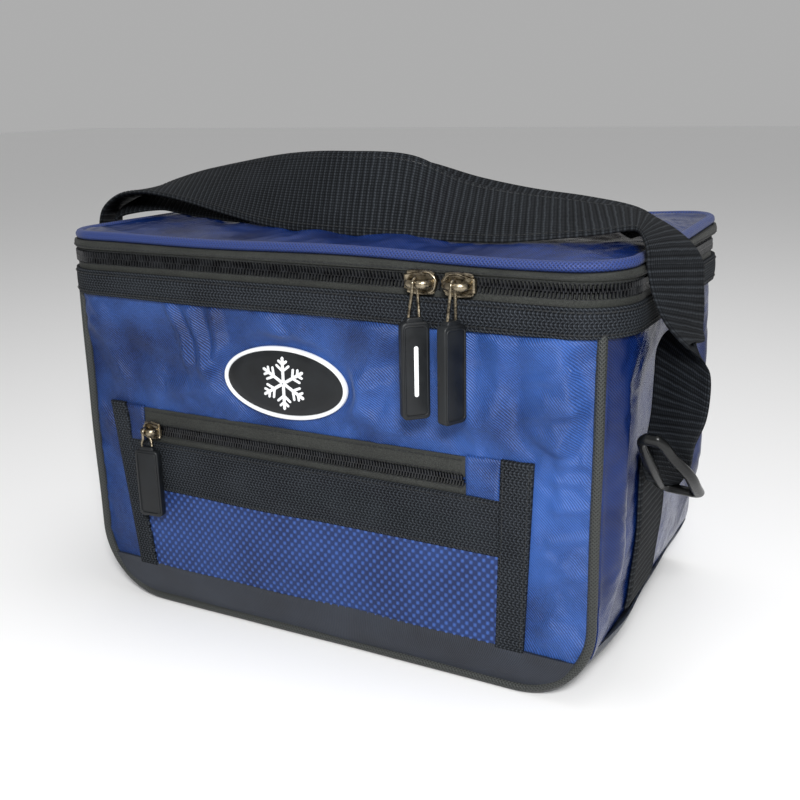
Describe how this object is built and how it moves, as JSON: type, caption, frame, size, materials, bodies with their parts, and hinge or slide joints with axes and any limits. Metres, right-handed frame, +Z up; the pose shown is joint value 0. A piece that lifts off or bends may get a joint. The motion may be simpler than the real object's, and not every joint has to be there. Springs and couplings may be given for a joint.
{
  "type": "insulated cooler bag",
  "caption": "Soft insulated lunch cooler bag with a zip-round lid on a rear hinge, a zipped front pocket, and a webbing carry strap with a moulded adjuster ring.",
  "frame": {"origin": "centre of the flat underside of the base", "axes": "+Z up, +X to the bag's right seen from its front, along its length, +Y to the back"},
  "size_m": [0.3008, 0.1742, 0.2101],
  "materials": {
    "blue_satin": "satin weave nylon, soft sheen",
    "blue_coated": "glossy coated nylon",
    "blue_dobby": "raised dobby weave, matt",
    "black_webbing": "coarse woven webbing",
    "black_piping": "braided cord edging",
    "navy_ripstop": "ribbed nylon, matt",
    "zip_coil": "nylon coil",
    "black_rubber": "moulded soft rubber",
    "white_rubber": "moulded soft rubber",
    "slider_metal": "antique plated",
    "black_plastic": "moulded acetal",
    "foam": "closed-cell foam",
    "liner": "silver foil film"
  },
  "bodies": {
    "bag": {"front_panel": "blue_satin", "back_panel": "blue_coated", "side_panel_left": "blue_coated", "side_panel_right": "blue_coated", "base_panel": "navy_ripstop", "front_piping": "black_piping", "back_piping": "black_piping", "foam_front": "foam", "foam_back": "foam", "foam_side_left": "foam", "foam_side_right": "foam", "foam_base": "foam", "inner_liner": "liner", "zip_band_lower": "black_webbing", "zip_tape_lower": "black_webbing", "zip_coil_lower": "zip_coil", "lid_hinge_strip": "black_webbing", "badge_rim": "white_rubber", "badge_plate": "black_rubber", "badge_emblem": "white_rubber", "front_base_band": "navy_ripstop", "pocket_panel": "blue_dobby", "pocket_webbing_band": "black_webbing", "pocket_binding_left": "black_webbing", "pocket_binding_right": "black_webbing", "pocket_zip_tape_lower": "black_webbing", "pocket_zip_tape_upper": "black_webbing", "pocket_zip_coil_lower": "zip_coil", "pocket_zip_coil_upper": "zip_coil", "pocket_zip_tab_left": "blue_satin", "pocket_zip_tab_right": "blue_satin", "side_webbing_left": "black_webbing", "side_webbing_right": "black_webbing", "strap_leg_left": "black_webbing", "strap_leg_right": "black_webbing"},
    "lid": {"lid_cover": "blue_coated", "lid_foam": "foam", "lid_liner": "liner", "lid_piping": "blue_coated", "lid_band": "black_webbing", "zip_tape_upper": "black_webbing", "zip_coil_upper": "zip_coil"},
    "strap": {"strap_bow": "black_webbing", "strap_tail": "black_webbing"},
    "zip_slider_left": {"zip_slider_left": "slider_metal"},
    "puller_left": {"pull_wire_left": "slider_metal", "pull_grip_left": "black_rubber"},
    "zip_slider_right": {"zip_slider_right": "slider_metal"},
    "puller_right": {"pull_wire_right": "slider_metal", "pull_grip_right": "black_rubber"},
    "pocket_slider": {"pocket_slider": "slider_metal"},
    "puller_pocket": {"pull_wire_pocket": "slider_metal", "pull_grip_pocket": "black_rubber"},
    "adjuster": {"strap_adjuster": "black_plastic"}
  },
  "joints": [
    {"name": "lid_hinge", "type": "hinge", "parent": "bag", "child": "lid", "pos_m": [0, 0.0785, 0.165], "axis": [-1, 0, 0], "range_deg": [0, 110]},
    {"name": "strap_lift", "type": "slide", "parent": "lid", "child": "strap", "axis": [0, 0, 1], "range_m": [0, 0.045]},
    {"name": "left_slider_travel", "type": "slide", "parent": "bag", "child": "zip_slider_left", "axis": [-1, 0, 0], "range_m": [0, 0.155]},
    {"name": "left_puller_swing", "type": "hinge", "parent": "zip_slider_left", "child": "puller_left", "pos_m": [0.0548, -0.0861, 0.165], "axis": [-1, 0, 0], "range_deg": [0, 150]},
    {"name": "right_slider_travel", "type": "slide", "parent": "bag", "child": "zip_slider_right", "axis": [1, 0, 0], "range_m": [0, 0.033]},
    {"name": "right_puller_swing", "type": "hinge", "parent": "zip_slider_right", "child": "puller_right", "pos_m": [0.0702, -0.0861, 0.165], "axis": [-1, 0, 0], "range_deg": [0, 150]},
    {"name": "pocket_slider_travel", "type": "slide", "parent": "bag", "child": "pocket_slider", "axis": [1, 0, 0], "range_m": [0, 0.148]},
    {"name": "pocket_puller_swing", "type": "hinge", "parent": "pocket_slider", "child": "puller_pocket", "pos_m": [-0.086, -0.0814, 0.087], "axis": [-1, 0, 0], "range_deg": [0, 150]},
    {"name": "adjuster_tilt", "type": "hinge", "parent": "bag", "child": "adjuster", "pos_m": [0.1425, -0.0465, 0.0935], "axis": [0.02, 0.7218, -0.6918], "range_deg": [-20, 20]}
  ]
}
